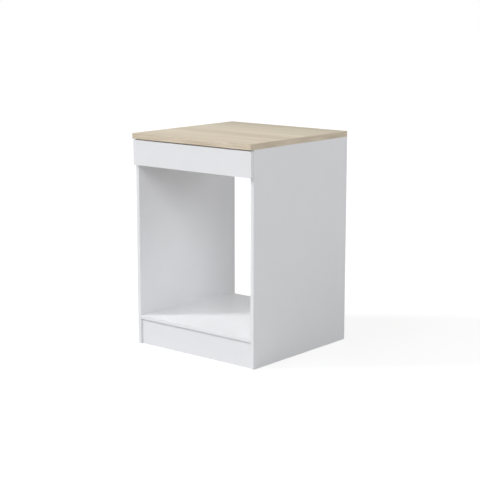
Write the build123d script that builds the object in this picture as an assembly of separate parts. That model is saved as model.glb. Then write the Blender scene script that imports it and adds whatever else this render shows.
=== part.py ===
"""Free-standing base cabinet for a built-in oven, as a flat-pack kit put together.

White melamine-faced chipboard carcass, open at the front and the back, with a fixed fascia under
an oak-look worktop. Millimetres. X runs left to right, Y from the front to the back, Z up. The
origin is on the floor, under the middle of the worktop.
"""
import os
from math import sqrt

from build123d import *

# Overall sizes
width = 600.0
depth = 600.0
height = 850.0

# Boards, facings and edge bands included
board = 15.0
worktop_thickness = 22.0
band = 1.0
band_ease = 0.4

# The ease takes no more than this share of a band
band_ease_limit = 0.9

# Front
worktop_lip = 4.0
fascia_height = 99.0
fascia_top_gap = 4.0
fascia_end_gap = 1.0
rail_height = 100.0

# Bottom
plinth_height = 100.0
plinth_setback = 6.0
shelf_gap = 2.0
shelf_back_gap = 45.0

# Cam, bolt and dowel joints between the side panels and what stands between them
cam_setback = 34.0
cam_diameter = 14.9
cam_face = 3.8
cam_floor = 0.8
cam_throw = 0.8
cam_wall = 1.9
cam_cross_length = 8.0
cam_cross_width = 1.6
cam_cross_depth = 2.2
bolt_diameter = 7.0
bolt_head_length = 4.6
bolt_neck_diameter = 4.2
bolt_neck_end = 9.5
bolt_thread_diameter = 4.9
bolt_thread_length = 11.0
dowel_diameter = 7.8
dowel_length = 30.0
dowel_in_side = 10.0
dowel_chamfer = 1.0
joint_inset = 60.0
joint_pitch = 32.0

# Screws
screw_diameter = 3.5
screw_head_diameter = 7.0
screw_head_height = 2.2
pan_head_top_diameter = 4.9
screw_tip = 3.0
screw_cross_width = 0.7
screw_cross_depth = 1.4
fascia_screw_bite = 10.0
corner_screw_bite = 10.0
fascia_screw_row_length = 440.0
fascia_screw_count = 4

# Corner blocks that hold the worktop down
corner_length = 32.0
corner_leg = 17.0
corner_plate = 3.0
corner_web = 2.0
corner_nose = 5.0
corner_bays = 3
corner_spacing = 340.0

# Clearances
bore_clearance = 0.1
bore_end_clearance = 0.5

# Small round pieces and their holes have few sides, because there are many of them
small_sides = 10
cam_sides = 20

SIDES = (-1, 1)
UP = (0, 0, 1)
FORWARDS = (0, -1, 0)
BACKWARDS = (0, 1, 0)

# Where the boards lie
worktop_under = height - worktop_thickness
worktop_front = -depth / 2
back = depth / 2
side_inner = width / 2 - board
fascia_front = worktop_front + worktop_lip
front = fascia_front + board
fascia_top = worktop_under - fascia_top_gap
fascia_bottom = fascia_top - fascia_height
fascia_half = width / 2 - fascia_end_gap
front_rail_back = front + board
rear_rail_front = back - board
rail_bottom = worktop_under - rail_height
rail_middle = worktop_under - rail_height / 2
plinth_front = front + plinth_setback
plinth_back = plinth_front + board
shelf_under = plinth_height + shelf_gap
shelf_top = shelf_under + board
shelf_back = back - shelf_back_gap


def block(x0, x1, y0, y1, z0, z1):
    """A square block between two opposite corners."""
    size = Box(x1 - x0, y1 - y0, z1 - z0, align=(Align.MIN, Align.MIN, Align.MIN))
    return Pos(x0, y0, z0) * size


def edge_band(strip, outward):
    """Eases the two long arrises of an edge band on the side that faces outward."""
    outer_face = strip.faces().sort_by(Axis((0, 0, 0), outward))[-1]
    arrises = outer_face.edges().sort_by(SortBy.LENGTH)[-2:]
    return chamfer(arrises, min(band_ease, band_ease_limit * band))


def round_bar(radius, start, end, sides=small_sides):
    """A round bar or drill along Z between two heights."""
    return Pos(0, 0, start) * extrude(RegularPolygon(radius, sides), end - start)


def turned(points):
    """A piece turned about Z from its outline, given as (height, radius) from end to end."""
    piece = None
    for (low, low_radius), (high, high_radius) in zip(points, points[1:]):
        if high > low:
            rings = [
                Pos(0, 0, low) * RegularPolygon(low_radius, small_sides),
                Pos(0, 0, high) * RegularPolygon(high_radius, small_sides),
            ]
            stretch = loft(rings, ruled=True)
            piece = stretch if piece is None else piece + stretch
    return piece


def cross_drive(length, width, start, end):
    """The cutter for a screwdriver's cross, between two heights."""
    slot = block(-length / 2, length / 2, -width / 2, width / 2, start, end)
    return slot + Rot(0, 0, 90) * slot


def cut_all(body, cutters):
    """The body with every cutter taken away."""
    for cutter in cutters:
        body = body - cutter
    return body


def copies(piece, places):
    """The same piece or cutter at each place."""
    return [place * piece for place in places]


# Cam and bolt fitting
# Its own frame: Z runs into the board from the bored face, X towards the side panel.
bolt_axis = board / 2
cam_radius = cam_diameter / 2
cam_hollow_height = 2 * (bolt_axis - cam_face)
cam_height = cam_face + cam_hollow_height + cam_floor
cam_hollow_radius = cam_radius - cam_wall
bolt_bore = bolt_diameter / 2 + bore_clearance


def along_bolt(piece):
    """Lays a piece made along Z on the bolt's axis, its start at the cam's centre."""
    return Pos(0, 0, bolt_axis) * Rot(0, 90, 0) * piece


def cam():
    """A zinc cam: a drum with an off-centre hollow for the bolt's head and a slot for its neck.

    Turned home, the hollow's wall pulls the head inwards. The mouth that let the head in is then
    on the far side, and the slot's two lips hold the head.
    """
    drum = round_bar(cam_radius, 0, cam_height, cam_sides)
    hollow_top = cam_face + cam_hollow_height
    hollow = Pos(-cam_throw, 0, 0) * round_bar(cam_hollow_radius, cam_face, hollow_top, cam_sides)
    reach = 2 * cam_radius
    half_slot = bolt_neck_diameter / 2 + 2 * bore_clearance
    slot = block(-cam_throw, reach, -reach, reach, bolt_axis - half_slot, bolt_axis + half_slot)
    mouth = along_bolt(round_bar(bolt_bore, -reach, 0))
    drive = cross_drive(cam_cross_length, cam_cross_width, 0, cam_cross_depth)
    return cut_all(drum, [hollow, slot, mouth, drive])


def head_seat(radius):
    """How far from the cam's centre the hollow's curved wall lets this radius of the bolt's head come."""
    return sqrt(cam_hollow_radius**2 - radius**2) - cam_throw - bore_clearance


def cam_bolt():
    """A steel bolt screwed into the side panel, with the head that the cam pulls on."""
    radius, neck_radius = bolt_diameter / 2, bolt_neck_diameter / 2
    head_start = head_seat(neck_radius) - bolt_head_length
    thread_end = cam_setback + bolt_thread_length
    profile = [
        (head_start, radius / 2),
        (head_start + radius / 2, radius),
        (head_seat(radius), radius),
        (head_seat(neck_radius), neck_radius),
        (bolt_neck_end, neck_radius),
        (bolt_neck_end + neck_radius / 2, radius),
        (cam_setback, radius),
        (cam_setback, bolt_thread_diameter / 2),
        (thread_end - bolt_thread_diameter / 4, bolt_thread_diameter / 2),
        (thread_end, bolt_thread_diameter / 4),
    ]
    return along_bolt(turned(profile))


def dowel():
    """A beech dowel across the joint, a third of it in the side panel."""
    radius = dowel_diameter / 2
    inner_end = cam_setback + dowel_in_side - dowel_length
    outer_end = cam_setback + dowel_in_side
    profile = [
        (inner_end, radius - dowel_chamfer),
        (inner_end + dowel_chamfer, radius),
        (outer_end - dowel_chamfer, radius),
        (outer_end, radius - dowel_chamfer),
    ]
    return along_bolt(turned(profile))


def cam_bores():
    """What the cam and the bolt need in the board that they pull up: a face bore and an edge bore."""
    face_bore = round_bar(cam_radius + bore_clearance, 0, cam_height + bore_end_clearance, cam_sides)
    return [face_bore, along_bolt(round_bar(bolt_bore, 0, cam_setback))]


def bolt_hole():
    """The hole in the side panel that the bolt's thread cuts into."""
    end = cam_setback + bolt_thread_length + bore_end_clearance
    return along_bolt(round_bar(bolt_thread_diameter / 2 + bore_clearance, cam_setback, end))


def dowel_hole():
    """The dowel's hole, through the joint's face into both boards."""
    start = cam_setback + dowel_in_side - dowel_length - bore_end_clearance
    end = cam_setback + dowel_in_side + bore_end_clearance
    return along_bolt(round_bar(dowel_diameter / 2 + bore_clearance, start, end))


def joint_place(side, y, z, into):
    """A fitting's frame on a bored face: X points at the side panel, Z goes into the board."""
    origin = (side * (side_inner - cam_setback), y, z)
    return Plane(origin=origin, x_dir=(side, 0, 0), z_dir=into).location


def upright_joint(y, z, into):
    """Places for the fittings of a board on edge: a cam above a dowel at each end."""
    cams = [joint_place(side, y, z + joint_pitch / 2, into) for side in SIDES]
    dowels = [joint_place(side, y, z - joint_pitch / 2, into) for side in SIDES]
    return cams, dowels


shelf_cam_rows = (front + joint_inset, shelf_back - joint_inset)
shelf_dowel_rows = (shelf_cam_rows[0] + joint_pitch, shelf_cam_rows[1] - joint_pitch)
joints = {
    "shelf": (
        [joint_place(side, y, shelf_under, UP) for side in SIDES for y in shelf_cam_rows],
        [joint_place(side, y, shelf_under, UP) for side in SIDES for y in shelf_dowel_rows],
    ),
    "plinth": upright_joint(plinth_back, plinth_height / 2, FORWARDS),
    "front_rail": upright_joint(front_rail_back, rail_middle, FORWARDS),
    "rear_rail": upright_joint(rear_rail_front, rail_middle, BACKWARDS),
}


def bores_in(name):
    """Every cutter that one board between the side panels needs."""
    cams, dowels = joints[name]
    face_bore, edge_bore = cam_bores()
    return copies(face_bore, cams) + copies(edge_bore, cams) + copies(dowel_hole(), dowels)


def on_side(side, places):
    """The places that lie left (-1) or right (1) of the middle."""
    return [place for place in places if place.position.X * side > 0]


def bores_in_side(side):
    """Every bolt and dowel hole in one side panel."""
    cams = [place for joint in joints.values() for place in joint[0]]
    dowels = [place for joint in joints.values() for place in joint[1]]
    return copies(bolt_hole(), on_side(side, cams)) + copies(dowel_hole(), on_side(side, dowels))


# Screws
# Their own frame: Z is the way they are driven, and the seat of the head is at Z = 0.
screw_radius = screw_diameter / 2
screw_head_radius = screw_head_diameter / 2


def screw_cross(top):
    """The cross in a screw's head, from its top inwards."""
    return cross_drive(screw_diameter, screw_cross_width, top, top + screw_cross_depth)


def countersunk_screw(length):
    """A screw whose head is flush with the face it was driven into."""
    profile = [
        (0, screw_head_radius),
        (screw_head_radius - screw_radius, screw_radius),
        (length - screw_tip, screw_radius),
        (length, screw_radius / 4),
    ]
    return turned(profile) - screw_cross(0)


def countersunk_hole(length):
    """The clearance for such a screw."""
    grown = bore_clearance
    profile = [
        (0, screw_head_radius + grown),
        (screw_head_radius - screw_radius, screw_radius + grown),
        (length + bore_end_clearance, screw_radius + grown),
    ]
    return turned(profile)


def pan_head_screw(length):
    """A screw with a low head that sits on its seat."""
    profile = [
        (-screw_head_height, pan_head_top_diameter / 2),
        (0, screw_head_radius),
        (0, screw_radius),
        (length - screw_tip, screw_radius),
        (length, screw_radius / 4),
    ]
    return turned(profile) - screw_cross(-screw_head_height)


def screw_hole(length):
    """A straight hole for a screw, from its seat to past its tip."""
    return round_bar(screw_radius + bore_clearance, 0, length + bore_end_clearance)


# Corner blocks
# Their own frame: the side panel's face is at X = 0 and the worktop's underside at Z = 0.
corner_screw_length = corner_plate + corner_screw_bite
bay_pitch = (corner_length - corner_web) / corner_bays
screw_reach = (corner_leg + corner_plate) / 2
into_worktop = Plane(origin=(screw_reach, 0, -corner_plate), x_dir=(1, 0, 0), z_dir=UP).location
into_side = [
    Plane(origin=(corner_plate, bay * bay_pitch, -screw_reach), x_dir=(0, 1, 0), z_dir=(-1, 0, 0)).location
    for bay in SIDES
]


def corner_block():
    """A moulded bracket: two plates at a right angle and the webs between its three bays.

    The middle bay's screw goes up into the worktop, the outer bays' into the side panel.
    """
    leg, nose, half = corner_leg, corner_nose, corner_length / 2
    bracket = block(0, corner_plate, -half, half, -leg, 0) + block(0, leg, -half, half, -corner_plate, 0)
    web_outline = Polyline((0, 0), (leg, 0), (leg, -nose), (nose, -leg), (0, -leg), close=True)
    web = extrude(Plane.XZ * make_face(web_outline), corner_web / 2, both=True)
    for index in range(corner_bays + 1):
        bracket = bracket + Pos(0, -half + corner_web / 2 + index * bay_pitch, 0) * web
    return cut_all(bracket, copies(screw_hole(corner_screw_length), [into_worktop] + into_side))


corner_places = [
    Plane(
        origin=(side * side_inner, row * corner_spacing / 2, worktop_under),
        x_dir=(-side, 0, 0), z_dir=UP,
    ).location
    for side in SIDES for row in SIDES
]
worktop_screw_places = [place * into_worktop for place in corner_places]
side_screw_places = [place * inner for place in corner_places for inner in into_side]


# Fascia screws, driven forwards through the front rail
fascia_screw_length = board + fascia_screw_bite
fascia_screw_pitch = fascia_screw_row_length / (fascia_screw_count - 1)
fascia_screw_places = [
    Plane(
        origin=(-fascia_screw_row_length / 2 + index * fascia_screw_pitch, front_rail_back, rail_middle),
        x_dir=(1, 0, 0), z_dir=FORWARDS,
    ).location
    for index in range(fascia_screw_count)
]
fascia_screw_holes = copies(countersunk_hole(fascia_screw_length), fascia_screw_places)


# Boards
def worktop():
    """The worktop's board inside its front and end bands. Its back edge stays raw."""
    core = block(-width / 2 + band, width / 2 - band, worktop_front + band, back, worktop_under, height)
    return cut_all(core, copies(screw_hole(corner_screw_length), worktop_screw_places))


def side_panel(side):
    """A side panel, from the floor to the worktop."""
    inner, outer = sorted((side * side_inner, side * width / 2))
    core = block(inner, outer, front + band, back, 0, worktop_under)
    screw_holes = copies(screw_hole(corner_screw_length), on_side(side, side_screw_places))
    return cut_all(core, bores_in_side(side) + screw_holes)


def oven_shelf():
    """The shelf that the oven stands on. Air passes behind it."""
    core = block(-side_inner, side_inner, front + band, shelf_back, shelf_under, shelf_top)
    return cut_all(core, bores_in("shelf"))


def plinth():
    """The plinth board, set back under the shelf."""
    core = block(-side_inner, side_inner, plinth_front, plinth_back, band, plinth_height - band)
    return cut_all(core, bores_in("plinth"))


def fascia():
    """The fixed front above the oven, laid over the front edges of the side panels."""
    half = fascia_half - band
    core = block(-half, half, fascia_front, front, fascia_bottom + band, fascia_top - band)
    return cut_all(core, fascia_screw_holes)


def front_top_rail():
    """The upright rail behind the fascia."""
    core = block(-side_inner, side_inner, front, front_rail_back, rail_bottom + band, worktop_under)
    return cut_all(core, bores_in("front_rail") + fascia_screw_holes)


def rear_top_rail():
    """The upright rail at the back, flush with the side panels."""
    core = block(-side_inner, side_inner, rear_rail_front, back, rail_bottom + band, worktop_under)
    return cut_all(core, bores_in("rear_rail"))


# Edge bands
def worktop_front_band():
    """The worktop's front band, the full width of the worktop."""
    strip = block(-width / 2, width / 2, worktop_front, worktop_front + band, worktop_under, height)
    return edge_band(strip, FORWARDS)


def worktop_end_band(side):
    """The band on one end of the worktop, behind the front band."""
    x0, x1 = sorted((side * width / 2, side * (width / 2 - band)))
    strip = block(x0, x1, worktop_front + band, back, worktop_under, height)
    return edge_band(strip, (side, 0, 0))


def side_panel_band(side):
    """The band down the front edge of a side panel."""
    x0, x1 = sorted((side * side_inner, side * width / 2))
    return edge_band(block(x0, x1, front, front + band, 0, worktop_under), FORWARDS)


def oven_shelf_band():
    """The band along the shelf's front edge."""
    strip = block(-side_inner, side_inner, front, front + band, shelf_under, shelf_top)
    return edge_band(strip, FORWARDS)


def level_band(half, y0, z, up):
    """A band along the top or the bottom edge of a board on edge, its outer face at height z."""
    z0, z1 = sorted((z, z - up * band))
    return edge_band(block(-half, half, y0, y0 + board, z0, z1), (0, 0, up))


def fascia_end_band(side):
    """The band on one end of the fascia, between its top and bottom bands."""
    x0, x1 = sorted((side * fascia_half, side * (fascia_half - band)))
    strip = block(x0, x1, fascia_front, front, fascia_bottom + band, fascia_top - band)
    return edge_band(strip, (side, 0, 0))


def write(name, *solids):
    """Writes one node: a single piece, or a group of like pieces that stay separate solids."""
    shape = solids[0] if len(solids) == 1 else Compound(children=list(solids))
    shape.label = name
    export_step(shape, f"parts/{name}.step")


os.makedirs("parts", exist_ok=True)

write("worktop", worktop())
write("worktop_front_band", worktop_front_band())
write("worktop_left_band", worktop_end_band(-1))
write("worktop_right_band", worktop_end_band(1))
write("left_side_panel", side_panel(-1))
write("left_panel_front_band", side_panel_band(-1))
write("right_side_panel", side_panel(1))
write("right_panel_front_band", side_panel_band(1))
write("oven_shelf", oven_shelf())
write("oven_shelf_front_band", oven_shelf_band())
write("plinth", plinth())
write("plinth_bands",
      level_band(side_inner, plinth_front, 0, -1),
      level_band(side_inner, plinth_front, plinth_height, 1))
write("fascia", fascia())
write("fascia_long_bands",
      level_band(fascia_half, fascia_front, fascia_bottom, -1),
      level_band(fascia_half, fascia_front, fascia_top, 1))
write("fascia_end_bands", fascia_end_band(-1), fascia_end_band(1))
write("front_top_rail", front_top_rail())
write("front_top_rail_band", level_band(side_inner, front, rail_bottom, -1))
write("rear_top_rail", rear_top_rail())
write("rear_top_rail_band", level_band(side_inner, rear_rail_front, rail_bottom, -1))

for joint_name, (cam_places, dowel_places) in joints.items():
    write(f"{joint_name}_cams", *copies(cam(), cam_places))
    write(f"{joint_name}_cam_bolts", *copies(cam_bolt(), cam_places))
    write(f"{joint_name}_dowels", *copies(dowel(), dowel_places))

write("fascia_screws", *copies(countersunk_screw(fascia_screw_length), fascia_screw_places))
write("corner_blocks", *copies(corner_block(), corner_places))
write("worktop_screws", *copies(pan_head_screw(corner_screw_length), worktop_screw_places))
write("side_panel_screws", *copies(pan_head_screw(corner_screw_length), side_screw_places))
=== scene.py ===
"""Oven base cabinet: its looks around the packed CAD frame.

White melamine-faced boards, an oak-look worktop, plastic edge bands and the knock-down fittings
that hold them together, in a plain studio. Lengths are metres, apart from names that end in _mm.
"""
from math import cos, pi, radians, sin, sqrt

import bmesh
import bpy
from bpy.props import FloatProperty, FloatVectorProperty, IntProperty, PointerProperty
from mathutils import Matrix, Vector


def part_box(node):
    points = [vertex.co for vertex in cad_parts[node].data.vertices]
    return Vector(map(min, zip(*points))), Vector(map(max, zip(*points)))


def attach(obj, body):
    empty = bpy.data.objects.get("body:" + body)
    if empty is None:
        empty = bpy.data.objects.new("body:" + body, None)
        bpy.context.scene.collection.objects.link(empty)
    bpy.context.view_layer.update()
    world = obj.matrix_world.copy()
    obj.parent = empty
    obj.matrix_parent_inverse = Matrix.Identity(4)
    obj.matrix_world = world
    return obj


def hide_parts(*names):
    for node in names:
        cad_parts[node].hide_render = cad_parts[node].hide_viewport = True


bl_info = {
    "name": "Oven base cabinet",
    "version": (1, 0, 0),
    "blender": (4, 5, 0),
    "location": "3D View > Sidebar > Cabinet",
    "description": "Dresses a flat-pack oven cabinet: boards, edge bands, fittings and studio",
    "category": "Object",
}

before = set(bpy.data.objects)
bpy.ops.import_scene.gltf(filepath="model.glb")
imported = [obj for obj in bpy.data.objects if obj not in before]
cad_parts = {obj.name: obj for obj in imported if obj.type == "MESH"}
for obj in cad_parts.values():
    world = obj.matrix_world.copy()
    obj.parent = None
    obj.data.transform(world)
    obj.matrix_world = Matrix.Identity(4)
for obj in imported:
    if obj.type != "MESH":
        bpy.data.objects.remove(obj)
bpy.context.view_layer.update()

MM = 0.001
# Points of a mesh that are closer than this become one
SLIVER = 0.002 * MM
# Closer than this counts as the same place, and a square shoulder rises over this length
HAIR = 0.01 * MM
BODY = "root"
AXES = {"x": 0, "y": 1, "z": 2}
SIDES = (-1, 1)


def linear(hex_colour):
    """An sRGB colour written as six hex digits, as linear red, green and blue."""
    parts = [int(hex_colour[start:start + 2], 16) / 255 for start in (0, 2, 4)]
    return tuple(p / 12.92 if p <= 0.04045 else ((p + 0.055) / 1.055) ** 2.4 for p in parts)


# Settings that a user would change

# What every colour among them has in common
COLOUR = {"subtype": "COLOR", "size": 3, "min": 0, "max": 1}


class CabinetBoards(bpy.types.PropertyGroup):
    """Colours and pattern sizes of the faced chipboard."""

    white: FloatVectorProperty(
        name="White melamine", description="Colour of the white boards' faces",
        default=linear("E7E8EB"), **COLOUR)
    oak_light: FloatVectorProperty(
        name="Oak, light", description="Palest tone of the printed oak",
        default=linear("CABFAC"), **COLOUR)
    oak_dark: FloatVectorProperty(
        name="Oak, dark", description="Darkest broad tone of the printed oak",
        default=linear("B7AB96"), **COLOUR)
    # Besides placing the print, this offset places the oak's broad drift, a painted shade that darkens the
    # worktop towards its back
    oak_print_and_shade_offset: FloatVectorProperty(
        name="Oak cut", description="Where on the printed sheet the worktop was cut from",
        subtype="TRANSLATION", unit="LENGTH", size=3, default=(4.88, 19.52, 0))
    chip_light: FloatVectorProperty(
        name="Chips, light", description="Palest chips in the raw edges",
        default=linear("E6D2B0"), **COLOUR)
    chip_dark: FloatVectorProperty(
        name="Chips, dark", description="Darkest chips in the raw edges",
        default=linear("A98A62"), **COLOUR)
    facing: FloatProperty(
        name="Facing", description="Thickness of the melamine facing seen at a raw edge",
        unit="LENGTH", min=0, default=0.3 * MM)
    chip_length: FloatProperty(
        name="Chip length", description="Length of the coarse chips in the board's core",
        unit="LENGTH", min=0.1 * MM, default=7 * MM)
    oak_band: FloatProperty(
        name="Oak band", description="Usual width of the oak's light and dark bands",
        unit="LENGTH", min=1 * MM, default=80 * MM)


class CabinetEdging(bpy.types.PropertyGroup):
    """Colours and shape of the edge bands."""

    white: FloatVectorProperty(
        name="White edging", description="Colour of the white edge bands",
        default=linear("E8E9EC"), **COLOUR)
    oak_light: FloatVectorProperty(
        name="Oak edging, light", description="Palest tone of the oak edge bands",
        default=linear("DBCEBA"), **COLOUR)
    oak_dark: FloatVectorProperty(
        name="Oak edging, dark", description="Darkest broad tone of the oak edge bands",
        default=linear("C5B7A1"), **COLOUR)
    oak_band: FloatProperty(
        name="Oak edging band", description="Usual width of the light and dark streaks in the edging",
        unit="LENGTH", min=1 * MM, default=9 * MM)
    arris: FloatProperty(
        name="Arris radius", description="Radius milled on the bands' outer arrises",
        unit="LENGTH", min=0, default=0.6 * MM)
    arris_steps: IntProperty(
        name="Arris steps", description="Faces round each arris", min=1, max=8, default=4)


class CabinetFittings(bpy.types.PropertyGroup):
    """Detail sizes and colours of the cams, bolts, dowels, screws and blocks."""

    zinc: FloatVectorProperty(
        name="Zinc", description="Colour of the die-cast cams",
        default=linear("B4B6B8"), **COLOUR)
    plated_steel: FloatVectorProperty(
        name="Plated steel", description="Colour of the bolts and screws",
        default=linear("C9CBCD"), **COLOUR)
    beech: FloatVectorProperty(
        name="Beech", description="Colour of the dowels",
        default=linear("D6B48C"), **COLOUR)
    moulding: FloatVectorProperty(
        name="Moulded plastic", description="Colour of the corner blocks",
        default=linear("ECECE8"), **COLOUR)
    thread_pitch: FloatProperty(
        name="Thread pitch", description="Distance between turns of the chipboard threads",
        unit="LENGTH", min=0.5 * MM, default=1.6 * MM)
    thread_depth: FloatProperty(
        name="Thread depth", description="How far the thread stands out of the core",
        unit="LENGTH", min=0.1 * MM, default=0.55 * MM)
    flutes: IntProperty(
        name="Dowel flutes", description="Glue flutes round a dowel", min=4, max=32, default=16)
    flute_depth: FloatProperty(
        name="Flute depth", description="Depth of a dowel's glue flutes",
        unit="LENGTH", min=0, default=0.25 * MM)
    moulded_radius: FloatProperty(
        name="Moulded radius", description="Radius on the corner blocks' edges",
        unit="LENGTH", min=0, default=0.35 * MM)


class CabinetStudio(bpy.types.PropertyGroup):
    """Camera, lamps and surround."""

    lens: FloatProperty(
        name="Lens", description="Focal length on a 36 mm sensor",
        unit="CAMERA", min=10, default=99.15)
    camera_distance: FloatProperty(
        name="Camera distance", description="From the camera to the point that it looks at",
        unit="LENGTH", min=1, default=5.275)
    camera_azimuth: FloatProperty(
        name="Camera azimuth", description="Round from the cabinet's front towards its right side",
        subtype="ANGLE", default=radians(40.12))
    camera_elevation: FloatProperty(
        name="Camera elevation", description="How far the camera looks down",
        subtype="ANGLE", default=radians(10.83))
    camera_aim: FloatVectorProperty(
        name="Camera aim", description="The point that the camera looks at",
        subtype="XYZ", size=3, default=(0, -0.003, 0.418))
    key_strength: FloatProperty(
        name="Key light", description="Strength of the light from the front left",
        min=0, default=1.53)
    key_azimuth: FloatProperty(
        name="Key azimuth", description="Round from the front; less than zero is to the left",
        subtype="ANGLE", default=radians(-48))
    key_elevation: FloatProperty(
        name="Key elevation", description="Height of the key light over the horizon",
        subtype="ANGLE", default=radians(37))
    key_softness: FloatProperty(
        name="Key softness", description="Angle that the key light fills",
        subtype="ANGLE", default=radians(10))
    front_strength: FloatProperty(
        name="Front light", description="Strength of the broad light from high up in front",
        min=0, default=0.55)
    right_strength: FloatProperty(
        name="Right fill", description="Strength of the broad light from the front right",
        min=0, default=0.96)
    left_strength: FloatProperty(
        name="Left fill", description="Strength of the broad light on the left side",
        min=0, default=0.55)
    back_strength: FloatProperty(
        name="Back light", description="Strength of the bright wall behind the cabinet",
        min=0, default=2.4)
    top_strength: FloatProperty(
        name="Top light", description="Strength of the broad light from above",
        min=0, default=0.6)
    surround_strength: FloatProperty(
        name="Surround", description="Brightness of the plain surround that lights the cabinet",
        min=0, default=0.02)
    floor: FloatVectorProperty(
        name="Floor", description="Colour of the floor", default=linear("D6D6D6"), **COLOUR)


# Materials

# IOR of resins, plastics and wood
RESIN_IOR = 1.5
# Relief and roughness of raw chips, and the share of that relief that a pressed face has
CHIP_RELIEF_MM = 0.35
CHIP_ROUGHNESS = 0.85
FACE_SHARE = 0.06
# Shares of a board's half thickness: all chips are coarse up to the first, fine from the second
COARSE_TO = 0.45
FINE_FROM = 0.75


def add_node(tree, kind, inputs=None, stops=(), **settings):
    """Adds a node with its settings and links.

    An input goes by its name, or its number where names repeat. It gets a value, or a link from a
    socket or from a node, which gives the first output that it has in use.
    """
    node = tree.nodes.new(f"ShaderNode{kind}")
    for name, value in settings.items():
        setattr(node, name, value)
    for key, value in (inputs or {}).items():
        in_use = [socket for socket in node.inputs if socket.enabled and socket.name == key]
        socket = in_use[0] if in_use else node.inputs[key]
        if isinstance(value, bpy.types.Node):
            value = next(output for output in value.outputs if output.enabled)
        if isinstance(value, bpy.types.NodeSocket):
            tree.links.new(value, socket)
        else:
            socket.default_value = value
    for index, (position, colour) in enumerate(stops):
        points = node.color_ramp.elements
        point = points[index] if index < len(points) else points.new(position)
        point.position = position
        point.color = (*colour, 1)
    return node


def new_material(name):
    """A material without nodes, and its tree."""
    material = bpy.data.materials.new(name)
    material.use_nodes = True
    material.node_tree.nodes.clear()
    return material, material.node_tree


def rgba(colour, share=1.0):
    """A share of a colour, with the fourth number that a socket takes."""
    return (*(share * part for part in colour), 1)


def along_axis(axis, along, across):
    """Numbers for the three axes: one along the named axis, another across it."""
    return [along if name == axis else across for name in AXES]


def unit_size(axis, along_mm, across_mm):
    """The scale at which a pattern's unit is so long along the named axis, and so wide across it."""
    return [1 / MM / size for size in along_axis(axis, along_mm, across_mm)]


def shade(tree, colour, roughness, height, relief_mm, metal=False):
    """Puts colour, roughness and a relief of so many millimetres on a surface."""
    bump = add_node(tree, "Bump", {"Height": height, "Distance": relief_mm * MM, "Strength": 1.0})
    kind = {"Metallic": 1.0} if metal else {"IOR": RESIN_IOR}
    surface = add_node(tree, "BsdfPrincipled", {
        "Base Color": colour, "Roughness": roughness, "Normal": bump, **kind})
    add_node(tree, "OutputMaterial", {"Surface": surface})


def mottled_finish(tree, place, colour, tint, cloud, grain, roughness, metal=False):
    """Colour, roughness and height of a plain finish: clouds of a tinted tone and a fine grain.

    Cloud and grain are each a size in millimetres and a noise detail. A metal's roughness follows
    the clouds in its skin, a plastic's follows the grain of its press or mould.
    """
    clouds, grains = [
        add_node(tree, "TexNoise", {"Vector": place, "Scale": 1 / MM / size_mm, "Detail": detail})
        for size_mm, detail in (cloud, grain)]
    tinted = [part * share for part, share in zip(colour, tint)]
    tone = add_node(tree, "Mix", {
        "Factor": clouds, "A": rgba(colour), "B": rgba(tinted)}, data_type="RGBA")
    glossiest, dullest = roughness
    gloss = add_node(tree, "MapRange", {
        "Value": clouds if metal else grains, "To Min": glossiest, "To Max": dullest})
    return tone, gloss, grains


def mottled_material(name, relief_mm, metal=False, **finish):
    """A material with one mottled finish all over."""
    material, tree = new_material(name)
    place = add_node(tree, "TexCoord").outputs["Object"]
    shade(tree, *mottled_finish(tree, place, metal=metal, **finish), relief_mm, metal)
    return material


def chip_pattern(tree, place, axis, looks, core):
    """Colour and height of raw chipboard: coarse chips in the core, fine ones near the faces.

    Chips lie flat in the board, so they are several times longer than they are thick. The real
    fines are sawdust; here they are drawn coarser so that they show.
    """
    chip_mm = looks.chip_length / MM
    # What tears the chips' outlines, and the fibres in them
    ragged, fibres = [
        add_node(tree, "TexNoise", {
            "Vector": add_node(tree, "Mapping", {
                "Vector": place, "Scale": unit_size(axis, thickness_mm, length_mm)}),
            "Scale": 1.0, "Detail": detail})
        for thickness_mm, length_mm, detail in ((0.7, 2, 2), (0.35, 1.5, 3))]
    torn = add_node(tree, "VectorMath", {
        0: ragged.outputs["Color"], 1: along_axis(axis, 0.8 * MM, 2.4 * MM), 2: place,
    }, operation="MULTIPLY_ADD")
    # Coarse and fine chips, each as thick and as long as these shares of the coarse chips' length
    coarse, fine = [
        add_node(tree, "TexVoronoi", {
            "Vector": add_node(tree, "Mapping", {
                "Vector": torn, "Scale": unit_size(axis, thickness * chip_mm, length * chip_mm)}),
            "Scale": 1.0, "Randomness": 1.0})
        for thickness, length in ((0.2, 1), (0.1, 0.35))]
    tint = add_node(tree, "Mix", {
        "Factor": core, "A": fine.outputs["Color"], "B": coarse.outputs["Color"]}, data_type="RGBA")
    height = add_node(tree, "Mix", {
        "Factor": core, "A": fine.outputs["Distance"], "B": coarse.outputs["Distance"]})
    tone = add_node(tree, "SeparateColor", {"Color": tint})
    mixed = add_node(tree, "Mix", {"Factor": 0.45, "A": tone.outputs["Red"], "B": fibres})
    middle = [(light + dark) / 2 for light, dark in zip(looks.chip_light, looks.chip_dark)]
    colour = add_node(tree, "ValToRGB", {"Fac": mixed}, stops=(
        (0.2, looks.chip_dark), (0.45, middle), (0.7, looks.chip_light)))
    return colour, height


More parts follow.
